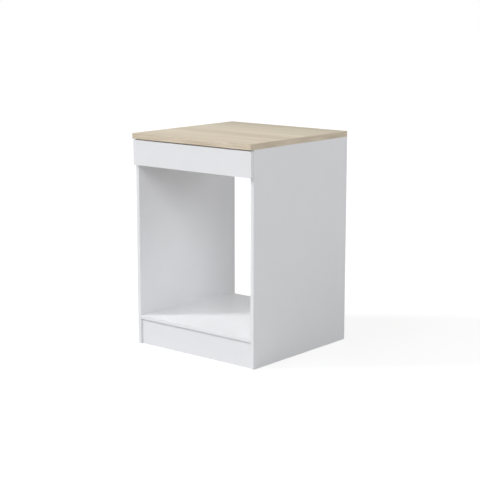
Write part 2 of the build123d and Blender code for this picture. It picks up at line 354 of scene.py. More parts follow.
def oak_pattern(tree, place, grain_axis, looks):
    """Colour, roughness and height of a pale printed oak with its grain along one axis.

    Broad light and dark bands, fine fibres, and short pores pressed into the surface. The real
    pores are 0.2 mm wide; here they are drawn three times as wide so that they show.
    """
    sway = add_node(tree, "TexNoise", {
        "Vector": add_node(tree, "Mapping", {"Vector": place, "Scale": unit_size(grain_axis, 320, 90)}),
        "Scale": 1.0, "Detail": 1.0})
    swayed = add_node(tree, "VectorMath", {
        0: sway.outputs["Color"], 1: along_axis(grain_axis, 0, 14 * MM), 2: place,
    }, operation="MULTIPLY_ADD")
    band_mm = looks.oak_band / MM
    # Each layer's size along and across the grain, then its noise's detail and roughness
    band, fibre, pore, crowd = [
        add_node(tree, "TexNoise", {
            "Vector": add_node(tree, "Mapping", {
                "Vector": swayed, "Scale": unit_size(grain_axis, along_mm, across_mm)}),
            "Scale": 1.0, "Detail": detail, "Roughness": roughness})
        for along_mm, across_mm, detail, roughness in (
            (14 * band_mm, band_mm, 3, 0.5), (130, 2.4, 2, 0.6), (13, 0.65, 0, 0.5), (160, 11, 1, 0.5))]
    broad = add_node(tree, "MapRange", {"Value": band, "From Min": 0.3, "From Max": 0.7})
    tone = add_node(tree, "Mix", {
        "Factor": broad, "A": rgba(looks.oak_light), "B": rgba(looks.oak_dark)}, data_type="RGBA")
    fibre_shade = add_node(tree, "MapRange", {
        "Value": fibre, "From Min": 0.3, "From Max": 0.7, "To Min": 0.93, "To Max": 1.06})
    fibred = add_node(tree, "VectorMath", {0: tone, "Scale": fibre_shade}, operation="SCALE")
    crowded = add_node(tree, "MapRange", {"Value": crowd, "From Min": 0.35, "From Max": 0.7})
    pore_core = add_node(tree, "MapRange", {"Value": pore, "From Min": 0.6, "From Max": 0.72})
    pores = add_node(tree, "Math", {0: pore_core, 1: crowded}, operation="MULTIPLY")
    pore_share = add_node(tree, "Math", {0: pores, 1: 0.5}, operation="MULTIPLY")
    colour = add_node(tree, "Mix", {
        "Factor": pore_share, "A": fibred, "B": rgba(looks.oak_dark, 0.72)}, data_type="RGBA")
    roughness = add_node(tree, "MapRange", {"Value": pores, "To Min": 0.66, "To Max": 0.76})
    height = add_node(tree, "Math", {0: fibre, 1: pores}, operation="SUBTRACT")
    return colour, roughness, height


def oak_face(tree, place, looks):
    """Oak-print melamine: matt, with a broad tone drift across the sheet, placed so that the worktop's top
    grows darker towards the back as painted shade.
    """
    grain_axis = "x"
    sheet = add_node(tree, "VectorMath", {0: place, 1: looks.oak_print_and_shade_offset}, operation="ADD")
    # Painted shade: where this broad drift sits on the sheet makes the worktop's top darker towards the
    # back
    drift_and_painted_shade = add_node(tree, "TexNoise", {
        "Vector": add_node(tree, "Mapping", {"Vector": sheet, "Scale": unit_size(grain_axis, 4000, 700)}),
        "Scale": 1.0, "Detail": 0.0})
    strength = add_node(tree, "MapRange", {
        "Value": drift_and_painted_shade, "From Min": 0.25, "From Max": 0.6, "To Min": 1.13, "To Max": 0.82})
    colour, roughness, height = oak_pattern(tree, sheet, grain_axis, looks)
    drifted_and_shaded = add_node(tree, "VectorMath", {0: colour, "Scale": strength}, operation="SCALE")
    return drifted_and_shaded, roughness, height


def melamine_face(tree, place, looks):
    """Pearl-pressed white melamine: a soft even white, faintly pebbled."""
    return mottled_finish(tree, place, looks.white, tint=(0.97, 0.97, 0.97), cloud=(90, 2),
                          grain=(0.9, 1), roughness=(0.36, 0.46))


def faced_board(name, node, axis, oak, looks):
    """Melamine-faced chipboard: paper pressed on both faces, raw chips at every edge and bore.

    The facing is the outer few tenths of a millimetre of the board, so a raw edge shows it as a
    fine line on both sides of the chips, and a drilled hole shows the chips inside.
    """
    low, high = (corner[AXES[axis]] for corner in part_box(node))
    half = (high - low) / 2
    material, tree = new_material(name)
    place = add_node(tree, "TexCoord").outputs["Object"]
    split = add_node(tree, "SeparateXYZ", {"Vector": place})
    offset = add_node(tree, "Math", {
        0: split.outputs[AXES[axis]], 1: (low + high) / 2}, operation="SUBTRACT")
    depth = add_node(tree, "Math", {0: offset}, operation="ABSOLUTE")
    faced = add_node(tree, "Math", {0: depth, 1: half - looks.facing}, operation="GREATER_THAN")
    core = add_node(tree, "MapRange", {
        "Value": depth, "From Min": FINE_FROM * half, "From Max": COARSE_TO * half})
    chip_colour, chip_height = chip_pattern(tree, place, axis, looks, core)
    face = oak_face if oak else melamine_face
    face_colour, face_roughness, face_height = face(tree, place, looks)
    face_relief = add_node(tree, "Math", {0: face_height, 1: FACE_SHARE}, operation="MULTIPLY")
    colour = add_node(tree, "Mix", {
        "Factor": faced, "A": chip_colour, "B": face_colour}, data_type="RGBA")
    roughness = add_node(tree, "Mix", {"Factor": faced, "A": CHIP_ROUGHNESS, "B": face_roughness})
    height = add_node(tree, "Mix", {"Factor": faced, "A": chip_height, "B": face_relief})
    shade(tree, colour, roughness, height, CHIP_RELIEF_MM)
    return material


def white_abs_edging(name, looks):
    """White ABS edging: extruded plastic, a little glossier than the board, with faint scraper waves."""
    return mottled_material(name, 0.01, colour=looks.white, tint=(0.97, 0.97, 0.97), cloud=(2.5, 2),
                            grain=(2.5, 2), roughness=(0.28, 0.36))


def oak_abs_edging(name, grain_axis, looks):
    """Oak-print ABS edging, its grain along the band, streaked more finely than the wide board."""
    material, tree = new_material(name)
    place = add_node(tree, "TexCoord").outputs["Object"]
    shade(tree, *oak_pattern(tree, place, grain_axis, looks), 0.02)
    return material


def die_cast_zinc(name, looks):
    """Die-cast zinc, barrel-finished: dull grey metal with a cloudy, slightly pitted skin."""
    return mottled_material(name, 0.02, metal=True, colour=looks.zinc, tint=(0.8, 0.8, 0.8),
                            cloud=(4, 3), grain=(0.5, 1), roughness=(0.36, 0.52))


def zinc_plated_steel(name, looks):
    """Zinc-plated steel, clear passivated: bright, smooth, with a faint warm and cool tint."""
    return mottled_material(name, 0.008, metal=True, colour=looks.plated_steel, tint=(1, 0.97, 0.88),
                            cloud=(3, 2), grain=(0.3, 1), roughness=(0.22, 0.34))


def moulded_polypropylene(name, looks):
    """White moulded polypropylene: waxy, with the fine spark-eroded texture of its mould."""
    return mottled_material(name, 0.02, colour=looks.moulding, tint=(0.98, 0.97, 0.94), cloud=(12, 2),
                            grain=(0.25, 1), roughness=(0.4, 0.52))


def turned_beech(name, looks):
    """Beech, machined and not sanded: pinkish tan, with short dark flecks along the dowel."""
    material, tree = new_material(name)
    place = add_node(tree, "TexCoord").outputs["Object"]
    grain, flecks = [
        add_node(tree, "TexNoise", {
            "Vector": add_node(tree, "Mapping", {
                "Vector": place, "Scale": unit_size("x", along_mm, across_mm)}),
            "Scale": 1.0, "Detail": detail})
        for along_mm, across_mm, detail in ((30, 1.5, 3), (2.2, 0.35, 0))]
    tone = add_node(tree, "Mix", {
        "Factor": grain, "A": rgba(looks.beech), "B": rgba(looks.beech, 0.78)}, data_type="RGBA")
    share = add_node(tree, "MapRange", {
        "Value": flecks, "From Min": 0.63, "From Max": 0.7, "To Max": 0.6})
    colour = add_node(tree, "Mix", {
        "Factor": share, "A": tone, "B": rgba(looks.beech, 0.5)}, data_type="RGBA")
    shade(tree, colour, 0.65, grain, 0.05)
    return material


def material_named(name, make, *details):
    """The material of this name, made the first time it is asked for."""
    return bpy.data.materials.get(name) or make(name, *details)


# Modelling steps

def deselect():
    """Leaves nothing selected in object mode."""
    bpy.ops.object.select_all(action="DESELECT")


def choose(piece):
    """Selects one piece alone and makes it the active one."""
    deselect()
    piece.select_set(True)
    bpy.context.view_layer.objects.active = piece


def settle(name):
    """Names the active piece and puts its place and size into its mesh."""
    piece = bpy.context.object
    piece.name = name
    piece.data.name = name
    bpy.ops.object.transform_apply(location=True, rotation=True, scale=True)
    return piece


def edit(piece):
    """Opens one piece in edit mode."""
    choose(piece)
    bpy.ops.object.mode_set(mode="EDIT")


def close():
    """Back to object mode."""
    bpy.ops.object.mode_set(mode="OBJECT")


def pick(piece, kind, wanted):
    """Selects the open piece's verts, edges or faces that the test accepts."""
    bpy.ops.mesh.select_mode(type=kind)
    bpy.ops.mesh.select_all(action="DESELECT")
    mesh = bmesh.from_edit_mesh(piece.data)
    for element in {"VERT": mesh.verts, "EDGE": mesh.edges, "FACE": mesh.faces}[kind]:
        if wanted(element):
            element.select_set(True)
    mesh.select_flush_mode()
    bmesh.update_edit_mesh(piece.data)


def middle_of(element):
    """The middle of an edge or a face."""
    return sum((vert.co for vert in element.verts), Vector()) / len(element.verts)


def apply_modifier(piece, kind, **settings):
    """Adds a modifier with its settings and applies it."""
    choose(piece)
    modifier = piece.modifiers.new(kind.lower(), kind)
    for name, value in settings.items():
        setattr(modifier, name, value)
    bpy.ops.object.modifier_apply(modifier=modifier.name)
    if not piece.data.polygons:
        raise RuntimeError(f"{piece.name} has no faces left after its {kind} modifier")


def combine(piece, other, operation):
    """Cuts a piece with another, or joins the other on, and clears the slivers that this leaves."""
    apply_modifier(piece, "BOOLEAN", object=other, operation=operation, solver="EXACT")
    bpy.data.objects.remove(other)
    edit(piece)
    bpy.ops.mesh.select_all(action="SELECT")
    bpy.ops.mesh.remove_doubles(threshold=SLIVER)
    bpy.ops.mesh.dissolve_degenerate(threshold=SLIVER)
    close()


def smooth(piece, angle=35):
    """Smooth shading across edges under an angle in degrees, with flat faces kept flat."""
    choose(piece)
    bpy.ops.object.shade_smooth_by_angle(angle=radians(angle))
    apply_modifier(piece, "WEIGHTED_NORMAL", keep_sharp=True)


def block(name, low, high):
    """A square block between two corners."""
    low, high = Vector(low), Vector(high)
    deselect()
    bpy.ops.mesh.primitive_cube_add(size=1, location=(low + high) / 2, scale=high - low)
    return settle(name)


def turned(name, outline, sides):
    """A piece turned about Z from its outline of (height, radius), by extruding a disc step by step."""
    height, radius = outline[0]
    deselect()
    bpy.ops.mesh.primitive_circle_add(
        vertices=sides, radius=radius, fill_type="NGON", location=(0, 0, height))
    piece = settle(name)
    edit(piece)
    bpy.ops.mesh.select_all(action="SELECT")
    for next_height, next_radius in outline[1:]:
        step = (0, 0, next_height - height)
        grow = next_radius / radius
        bpy.ops.mesh.extrude_region_move(TRANSFORM_OT_translate={"value": step})
        bpy.ops.transform.resize(value=(grow, grow, 1), center_override=(0, 0, next_height))
        height, radius = next_height, next_radius
    bpy.ops.mesh.select_all(action="SELECT")
    bpy.ops.mesh.normals_make_consistent(inside=False)
    close()
    return piece


def thread(name, start, end, core, depth, pitch):
    """A helical thread ridge about Z, tapered into the core at both ends."""
    sunk = 0.2 * MM
    # A triangle is one and a half times as high as the radius through its corners
    size = (depth + sunk) / 1.5
    deselect()
    bpy.ops.mesh.primitive_circle_add(
        vertices=3, radius=size, location=(core - sunk + size / 2, 0, start),
        rotation=(pi / 2, pi / 2, 0))
    ridge = settle(name)
    turns = round((end - start) / pitch)
    apply_modifier(ridge, "SCREW", axis="Z", screw_offset=pitch, iterations=turns,
                   steps=16, render_steps=16)
    edit(ridge)
    for end_height in (start, start + turns * pitch):
        def at_end(vert, level=end_height):
            return abs(vert.co.y) < HAIR and vert.co.x > 0 and abs(vert.co.z - level) < pitch / 2

        pick(ridge, "VERT", at_end)
        bpy.ops.mesh.merge(type="CENTER")
        bpy.ops.transform.translate(value=(-depth - sunk / 2, 0, 0))
    bpy.ops.mesh.select_all(action="SELECT")
    bpy.ops.mesh.normals_make_consistent(inside=False)
    close()
    return ridge


def hand_over(piece, node, material):
    """Gives a finished piece its material and its body, and hides the node it stands for."""
    piece.data.materials.clear()
    piece.data.materials.append(material)
    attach(piece, BODY)
    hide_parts(node)


def lay_copies(piece, groups, material):
    """Lays copies of a piece, each with its own mesh, at every group's places, and no original.

    The copies have their group's name and a number, and stand for the node named like the group
    with an s.
    """
    for group, places in groups.items():
        for number, place in enumerate(places, 1):
            choose(piece)
            bpy.ops.object.duplicate(linked=False)
            bpy.context.object.matrix_world = place
            hand_over(settle(f"{group}_{number}"), f"{group}s", material)
    bpy.data.objects.remove(piece)


# Sizes of the boards, bands and fittings, which the frame holds too

def span(node, axis):
    """How far a node reaches along one axis."""
    low, high = (corner[AXES[axis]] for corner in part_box(node))
    return high - low


BOARD = span("oven_shelf", "z")
BAND = span("worktop_front_band", "y")
BOLT_AXIS = BOARD / 2
CAM_RADIUS = span("plinth_cams", "z") / 2
CAM_HEIGHT = span("shelf_cams", "z")
CAM_FACE = 3.8 * MM
CAM_FLOOR = 0.8 * MM
CAM_WALL = 1.9 * MM
CAM_THROW = 0.8 * MM
CAM_SETBACK = 34 * MM
BOLT_RADIUS = 3.5 * MM
BOLT_HEAD_LENGTH = 4.6 * MM
NECK_RADIUS = 2.1 * MM
NECK_END = 9.5 * MM
BOLT_THREAD_RADIUS = 2.45 * MM
BOLT_THREAD_LENGTH = 11 * MM
DOWEL_RADIUS = 3.9 * MM
DOWEL_LENGTH = 30 * MM
DOWEL_IN_SIDE = 10 * MM
DOWEL_CHAMFER = 1 * MM
JOINT_PITCH = 32 * MM
SCREW_RADIUS = 1.75 * MM
SCREW_HEAD_RADIUS = 3.5 * MM
SCREW_HEAD_HEIGHT = 2.2 * MM
SCREW_TIP = 3 * MM
SCREW_BITE = 10 * MM
SHANK_TAPER = 0.3 * MM
THREAD_RUN_IN = 1.2 * MM
FASCIA_SCREWS = 4
BLOCK_LEG = span("corner_blocks", "z")
BLOCK_LENGTH = 32 * MM
BLOCK_PLATE = 3 * MM
BLOCK_WEB = 2 * MM
BLOCK_NOSE = 5 * MM
BLOCK_BAYS = 3
BLOCK_PITCH = (BLOCK_LENGTH - BLOCK_WEB) / BLOCK_BAYS
CLEARANCE = 0.1 * MM

# Flat sides round a cam, a rod and a screw
CAM_SIDES = 48
ROD_SIDES = 32
SCREW_SIDES = 24

# Places of the pieces
UP = Vector((0, 0, 1))
FORWARDS = Vector((0, -1, 0))
BACKWARDS = Vector((0, 1, 0))

# Boards: node, axis across the board, oak or white
BOARDS = (
    ("worktop", "z", True),
    ("left_side_panel", "x", False),
    ("right_side_panel", "x", False),
    ("oven_shelf", "z", False),
    ("plinth", "y", False),
    ("fascia", "y", False),
    ("front_top_rail", "y", False),
    ("rear_top_rail", "y", False),
)

# Boards that cams hold, as the names of their fittings start
JOINED_BOARDS = ("shelf", "plinth", "front_rail", "rear_rail")

# Edge bands: piece, node, the axis that the band faces along, which ends of the node's box hold one
EDGINGS = (
    ("worktop_front_edging", "worktop_front_band", "y", (-1,)),
    ("worktop_left_edging", "worktop_left_band", "x", (-1,)),
    ("worktop_right_edging", "worktop_right_band", "x", (1,)),
    ("left_panel_edging", "left_panel_front_band", "y", (-1,)),
    ("right_panel_edging", "right_panel_front_band", "y", (-1,)),
    ("shelf_edging", "oven_shelf_front_band", "y", (-1,)),
    ("plinth_edging", "plinth_bands", "z", SIDES),
    ("fascia_long_edging", "fascia_long_bands", "z", SIDES),
    ("fascia_end_edging", "fascia_end_bands", "x", SIDES),
    ("front_rail_edging", "front_top_rail_band", "z", (-1,)),
    ("rear_rail_edging", "rear_top_rail_band", "z", (-1,)),
)


def place_at(origin, x_axis, z_axis):
    """A place with its X and Z axes turned as given."""
    x_axis, z_axis = Vector(x_axis), Vector(z_axis)
    turn = Matrix((x_axis, z_axis.cross(x_axis), z_axis)).transposed()
    return Matrix.Translation(Vector(origin)) @ turn.to_4x4()


def joint_places(board, beside):
    """Frames at a board's cams, or so far beside them, at both of its ends.

    X points at the side panel that the joint holds, and Z goes into the board from its bored face.
    """
    low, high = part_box(f"{board}_cams")
    reach = high.x - CAM_RADIUS
    if board == "shelf":
        spots = ((low.y + CAM_RADIUS + beside, low.z), (high.y - CAM_RADIUS - beside, low.z))
        into = UP
    else:
        level = (low.z + high.z) / 2 - beside
        spots = ((low.y if board == "rear_rail" else high.y, level),)
        into = BACKWARDS if board == "rear_rail" else FORWARDS
    return [place_at((side * reach, y, z), (side, 0, 0), into) for side in SIDES for y, z in spots]


def joint_groups(fitting, beside=0):
    """The places of one kind of fitting in every board that cams hold, by the fittings' name."""
    return {f"{board}_{fitting}": joint_places(board, beside) for board in JOINED_BOARDS}


def fascia_screw_places():
    """Frames of the row of screws that goes forwards through the front rail into the fascia."""
    low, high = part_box("fascia_screws")
    first, last = low.x + SCREW_HEAD_RADIUS, high.x - SCREW_HEAD_RADIUS
    row = [first + index * (last - first) / (FASCIA_SCREWS - 1) for index in range(FASCIA_SCREWS)]
    return [place_at((x, high.y, (low.z + high.z) / 2), (1, 0, 0), FORWARDS) for x in row]


def corner_places():
    """The corner blocks' frames, which face inwards from both side panels."""
    low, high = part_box("corner_blocks")
    row = high.y - BLOCK_LENGTH / 2
    return [place_at((side * high.x, end * row, high.z), (-side, 0, 0), UP)
            for side in SIDES for end in SIDES]


def block_hole_places(inside):
    """Frames of a corner block's holes, so far inside it: one up, and two at the side panel."""
    reach = (BLOCK_LEG + BLOCK_PLATE) / 2
    at_side = [place_at((inside, side * BLOCK_PITCH, -reach), (0, 1, 0), (-1, 0, 0)) for side in SIDES]
    return place_at((reach, 0, -inside), (1, 0, 0), UP), at_side


# Pieces

def lay_along_bolt(piece):
    """Turns a piece made along Z onto the bolt's axis, its start at the cam's centre."""
    choose(piece)
    piece.matrix_world = Matrix.Translation((0, 0, BOLT_AXIS)) @ Matrix.Rotation(pi / 2, 4, "Y")
    bpy.ops.object.transform_apply(location=True, rotation=True, scale=True)


def edge_strip(name, node, axis, side, looks):
    """One edge band, on one side of its node's box: a strip with its two outer arrises rounded."""
    low, high = (corner.copy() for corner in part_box(node))
    outward = AXES[axis]
    if side > 0:
        outer = high[outward]
        low[outward] = outer - BAND
    else:
        outer = low[outward]
        high[outward] = outer + BAND
    size = high - low
    long_axis = max(range(3), key=lambda index: size[index])

    def outer_arris(edge):
        run = edge.verts[1].co - edge.verts[0].co
        is_long = abs(run[long_axis]) > 0.5 * size[long_axis]
        return is_long and abs(middle_of(edge)[outward] - outer) < HAIR

    strip = block(name, low, high)
    edit(strip)
    pick(strip, "EDGE", outer_arris)
    bpy.ops.mesh.bevel(offset=min(looks.arris, 0.9 * BAND), segments=looks.arris_steps, profile=0.5,
                       affect="EDGES")
    close()
    smooth(strip)
    return strip


def drive_blade(name, length, width, depth, top):
    """One blade of a cross drive: a slot cutter that narrows towards its bottom."""
    blade = block(name, (-length / 2, -width / 2, top - depth), (length / 2, width / 2, top + depth))
    edit(blade)
    pick(blade, "FACE", lambda face: face.normal.z > 0.9)
    bpy.ops.transform.resize(value=(0.45, 0.7, 1), center_override=(0, 0, top + depth))
    close()
    return blade


def cut_cross(piece, length, width, depth, top):
    """Cuts a cross drive into the end of a piece at a height, going up into it."""
    for turn in (0, pi / 2):
        blade = drive_blade("cross_cutter", length, width, depth, top)
        blade.matrix_world = Matrix.Rotation(turn, 4, "Z")
        combine(piece, blade, "DIFFERENCE")


def cut_pointer(drum):
    """Cuts the small triangle into a cam's face that shows which way its mouth points."""
    place, height = -5.6 * MM, 0.8 * MM
    deselect()
    bpy.ops.mesh.primitive_cylinder_add(
        vertices=3, radius=0.9 * MM, depth=height, location=(place, 0, 0), rotation=(0, 0, pi / 2))
    pointer = settle("pointer")
    edit(pointer)
    pick(pointer, "FACE", lambda face: face.normal.z > 0.9)
    bpy.ops.transform.resize(value=(0.8, 0.8, 1), center_override=(place, 0, height / 2))
    close()
    combine(drum, pointer, "DIFFERENCE")


def cam_drum():
    """A cam drum: its rims eased, hollowed off centre for the bolt's head, slotted for its neck."""
    face_ease, floor_ease = 0.3 * MM, 0.4 * MM
    drum = turned("cam", [
        (0, CAM_RADIUS - face_ease),
        (face_ease, CAM_RADIUS),
        (CAM_HEIGHT - floor_ease, CAM_RADIUS),
        (CAM_HEIGHT, CAM_RADIUS - floor_ease),
    ], CAM_SIDES)
    hollow_radius = CAM_RADIUS - CAM_WALL
    hollow = turned("hollow", [
        (CAM_FACE, hollow_radius), (CAM_HEIGHT - CAM_FLOOR, hollow_radius)], CAM_SIDES)
    hollow.matrix_world = Matrix.Translation((-CAM_THROW, 0, 0))
    combine(drum, hollow, "DIFFERENCE")
    half_slot = NECK_RADIUS + 2 * CLEARANCE
    reach = 2 * CAM_RADIUS
    slot = block("slot", (-CAM_THROW, -reach, BOLT_AXIS - half_slot), (reach, reach, BOLT_AXIS + half_slot))
    combine(drum, slot, "DIFFERENCE")
    mouth_radius = BOLT_RADIUS + CLEARANCE
    mouth = turned("mouth", [(-reach, mouth_radius), (0, mouth_radius)], ROD_SIDES)
    lay_along_bolt(mouth)
    combine(drum, mouth, "DIFFERENCE")
    cut_cross(drum, length=8 * MM, width=1.6 * MM, depth=2.2 * MM, top=0)
    cut_pointer(drum)
    smooth(drum)
    return drum


def head_seat(radius):
    """How far from the cam's centre the hollow's curved wall lets this radius of the head come."""
    return sqrt((CAM_RADIUS - CAM_WALL) ** 2 - radius ** 2) - CAM_THROW - CLEARANCE


def bolt(looks):
    """A cam bolt: crowned head, neck, guiding barrel, and a coarse thread for the side panel."""
    head_start = head_seat(NECK_RADIUS) - BOLT_HEAD_LENGTH
    thread_end = CAM_SETBACK + BOLT_THREAD_LENGTH
    core = BOLT_THREAD_RADIUS - looks.thread_depth
    head = [
        (head_start, 0.3 * BOLT_RADIUS),
        (head_start + 0.3 * MM, 0.62 * BOLT_RADIUS),
        (head_start + 1.0 * MM, 0.88 * BOLT_RADIUS),
        (head_start + 1.75 * MM, BOLT_RADIUS),
        (head_seat(BOLT_RADIUS), BOLT_RADIUS),
    ]
    neck = [(head_seat(NECK_RADIUS), NECK_RADIUS), (NECK_END, NECK_RADIUS)]
    barrel = [
        (NECK_END + 1.05 * MM, BOLT_RADIUS - 0.25 * MM),
        (NECK_END + 1.4 * MM, BOLT_RADIUS),
        (CAM_SETBACK - 0.3 * MM, BOLT_RADIUS),
        (CAM_SETBACK, BOLT_RADIUS - 0.3 * MM),
    ]
    shank = [(CAM_SETBACK + HAIR, core), (thread_end - core, core), (thread_end, 0.35 * core)]
    piece = turned("bolt", head + neck + barrel + shank, ROD_SIDES)
    ridge = thread("ridge", CAM_SETBACK + THREAD_RUN_IN, thread_end - 1.6 * MM, core,
                   looks.thread_depth, 1.4 * looks.thread_pitch)
    combine(piece, ridge, "UNION")
    smooth(piece)
    lay_along_bolt(piece)
    return piece


def fluted_dowel(looks):
    """A dowel with chamfered ends and glue flutes pressed along it."""
    outer = CAM_SETBACK + DOWEL_IN_SIDE
    inner = outer - DOWEL_LENGTH
    piece = turned("dowel", [
        (inner, DOWEL_RADIUS - DOWEL_CHAMFER),
        (inner + DOWEL_CHAMFER, DOWEL_RADIUS),
        (outer - DOWEL_CHAMFER, DOWEL_RADIUS),
        (outer, DOWEL_RADIUS - DOWEL_CHAMFER),
    ], 2 * looks.flutes)
    side_pitch = pi / looks.flutes

    def every_other_side(face):
        turn = Vector((1, 0)).angle_signed(face.normal.xy, 0)
        return abs(face.normal.z) < 0.1 and int((turn + pi) / side_pitch) % 2 == 0

    edit(piece)
    pick(piece, "FACE", every_other_side)
    bpy.ops.mesh.inset(thickness=0.08 * MM, depth=-looks.flute_depth, use_individual=True)
    close()
    smooth(piece, 25)
    lay_along_bolt(piece)
    return piece


def screw(name, head, shank, length, looks):
    """A chipboard screw along +Z from its seat: head, plain shank, thread, point and cross drive."""
    core = SCREW_RADIUS - looks.thread_depth
    core_start = shank + SHANK_TAPER
    piece = turned(name, [
        *head,
        (shank, SCREW_RADIUS),
        (core_start, core),
        (length - SCREW_TIP, core),
        (length - 0.2 * MM, 0.2 * core),
        (length, 0.05 * core),
    ], SCREW_SIDES)
    ridge = thread("ridge", core_start + THREAD_RUN_IN, length - SCREW_TIP + 0.4 * MM, core,
                   looks.thread_depth, looks.thread_pitch)
    combine(piece, ridge, "UNION")
    cut_cross(piece, length=4.2 * MM, width=0.9 * MM, depth=1.5 * MM, top=head[0][0])
    smooth(piece)
    return piece


def fascia_screw(looks):
    """The countersunk screw that holds the fascia, its head flush with the rail."""
    head = [
        (0, SCREW_HEAD_RADIUS),
        (0.25 * MM, SCREW_HEAD_RADIUS),
        (SCREW_HEAD_RADIUS - SCREW_RADIUS, SCREW_RADIUS),
    ]
    return screw("countersunk", head, BOARD / 2, BOARD + SCREW_BITE, looks)


def block_screw(looks):
    """The pan-head screw that goes through a corner block."""
    rounded = ((1, 0.5), (0.85, 0.78), (0.5, 0.95), (0.1, 1))
    head = [(-height * SCREW_HEAD_HEIGHT, radius * SCREW_HEAD_RADIUS) for height, radius in rounded]
    seat = [(0, 0.98 * SCREW_HEAD_RADIUS), (HAIR, SCREW_RADIUS)]
    return screw("pan", head + seat, BLOCK_PLATE, BLOCK_PLATE + SCREW_BITE, looks)


def corner_block(looks):
    """A moulded angle bracket with webs, its holes and eased edges.

    Its own frame: the side panel's face is X = 0 and the worktop's underside is Z = 0.
    """
    half = BLOCK_LENGTH / 2
    bracket = block("bracket", (0, -half, -BLOCK_LEG), (BLOCK_PLATE, half, 0))
    edit(bracket)
    bpy.ops.mesh.select_all(action="SELECT")
    bpy.ops.mesh.bisect(plane_co=(0, 0, -BLOCK_PLATE), plane_no=(0, 0, 1))

    def upper_inner(face):
        return face.normal.x > 0.9 and middle_of(face).z > -BLOCK_PLATE

    def lower_outer(edge):
        middle = middle_of(edge)
        return middle.x > 0.99 * BLOCK_LEG and middle.z < -0.99 * BLOCK_LEG

    pick(bracket, "FACE", upper_inner)
    bpy.ops.mesh.extrude_region_move(TRANSFORM_OT_translate={"value": (BLOCK_LEG - BLOCK_PLATE, 0, 0)})
    close()
    inset = 0.5 * BLOCK_PLATE
    for index in range(BLOCK_BAYS + 1):
        y = -half + BLOCK_WEB / 2 + index * BLOCK_PITCH
        web = block("web", (inset, y - BLOCK_WEB / 2, -BLOCK_LEG), (BLOCK_LEG, y + BLOCK_WEB / 2, -inset))
        edit(web)
        pick(web, "EDGE", lower_outer)
        bpy.ops.mesh.bevel(offset=BLOCK_LEG - BLOCK_NOSE, segments=1, affect="EDGES")
        close()
        combine(bracket, web, "UNION")
    hole_radius = SCREW_RADIUS + CLEARANCE
    upwards, at_side = block_hole_places(2 * BLOCK_PLATE)
    for place in (upwards, *at_side):
        bore = turned("bore", [(0, hole_radius), (3 * BLOCK_PLATE, hole_radius)], SCREW_SIDES)
        bore.matrix_world = place
        combine(bracket, bore, "DIFFERENCE")
    apply_modifier(bracket, "BEVEL", width=looks.moulded_radius, segments=2, limit_method="ANGLE",
                   angle_limit=radians(50))
    smooth(bracket)
    return bracket


# Studio

# The floor as it is seen: a grey that takes the shadow, and a glow that lifts it to white
FLOOR_GREY = 0.3
FLOOR_GLOW = 0.75
FLOOR_SIZE = 60
LAMP_DISTANCE = 3

# Broad lamps: name, the setting with its strength, then azimuth, elevation and softness in degrees
BROAD_LAMPS = (
    ("front_light", "front_strength", -25, 50, 35),
    ("right_fill", "right_strength", 45, 29, 27),
    ("left_fill", "left_strength", -105, 18, 60),
    ("back_light", "back_strength", 168, 16, 55),
    ("top_light", "top_strength", -45, 65, 60),
)


def outlook(azimuth, elevation):
    """The way out from the cabinet, its azimuth round from the front, and the turn that looks back."""
    out = Vector((sin(azimuth) * cos(elevation), -cos(azimuth) * cos(elevation), sin(elevation)))
    return out, (-out).to_track_quat("-Z", "Y").to_euler()


def add_camera(scene, looks):
    """The camera, at the photograph's viewing angle."""
    out, turn = outlook(looks.camera_azimuth, looks.camera_elevation)
    deselect()
    bpy.ops.object.camera_add(
        location=Vector(looks.camera_aim) + looks.camera_distance * out, rotation=turn)
    camera = bpy.context.object
    camera.name = "camera"
    camera.data.lens = looks.lens
    camera.data.sensor_width = 36
    scene.camera = camera


def add_lamp(name, strength, azimuth, elevation, softness, in_gloss=False):
    """A lamp far away, as large in the sky as its softness.

    A broad lamp stands for a part of the white surround, which glossy things show already, so
    only the key light shows in gloss too.
    """
    out, turn = outlook(azimuth, elevation)
    deselect()
    bpy.ops.object.light_add(type="SUN", location=LAMP_DISTANCE * out, rotation=turn)
    lamp = bpy.context.object
    lamp.name = name
    lamp.data.energy = strength
    lamp.data.angle = softness
    lamp.visible_glossy = in_gloss


def seen_directly(tree):
    """1 for what the camera, a gloss or a clear material sees, 0 for light that falls on things."""
    path = add_node(tree, "LightPath")
    either = add_node(tree, "Math", {
        0: path.outputs["Is Camera Ray"], 1: path.outputs["Is Glossy Ray"]}, operation="MAXIMUM")
    return add_node(tree, "Math", {
        0: either, 1: path.outputs["Is Transmission Ray"]}, operation="MAXIMUM")


def add_surround(scene, looks):
    """A plain surround: white where it is seen, dimmer where it lights the cabinet."""
    world = bpy.data.worlds.new("studio_surround")
    world.use_nodes = True
    tree = world.node_tree
    tree.nodes.clear()
    light, white = [
        add_node(tree, "Background", {"Color": (1, 1, 1, 1), "Strength": strength})
        for strength in (looks.surround_strength, 1.0)]
    mixed = add_node(tree, "MixShader", {0: seen_directly(tree), 1: light, 2: white})
    add_node(tree, "OutputWorld", {"Surface": mixed})
    scene.world = world


def add_floor(looks):
    """A plain pale floor that keeps the cabinet's shadow, and is white away from it."""
    deselect()
    bpy.ops.mesh.primitive_plane_add(size=FLOOR_SIZE, location=(0, 0, 0))
    floor = settle("studio_floor")
    material, tree = new_material("matt_white_floor")
    lit = add_node(tree, "BsdfDiffuse", {"Color": rgba(looks.floor)})
    shaded = add_node(tree, "BsdfDiffuse", {"Color": rgba((1, 1, 1), FLOOR_GREY)})
    glow = add_node(tree, "Emission", {"Color": (1, 1, 1, 1), "Strength": FLOOR_GLOW})
    bright = add_node(tree, "AddShader", {0: shaded, 1: glow})
    mixed = add_node(tree, "MixShader", {0: seen_directly(tree), 1: lit, 2: bright})
    add_node(tree, "OutputMaterial", {"Surface": mixed})
    floor.data.materials.append(material)


# Operators

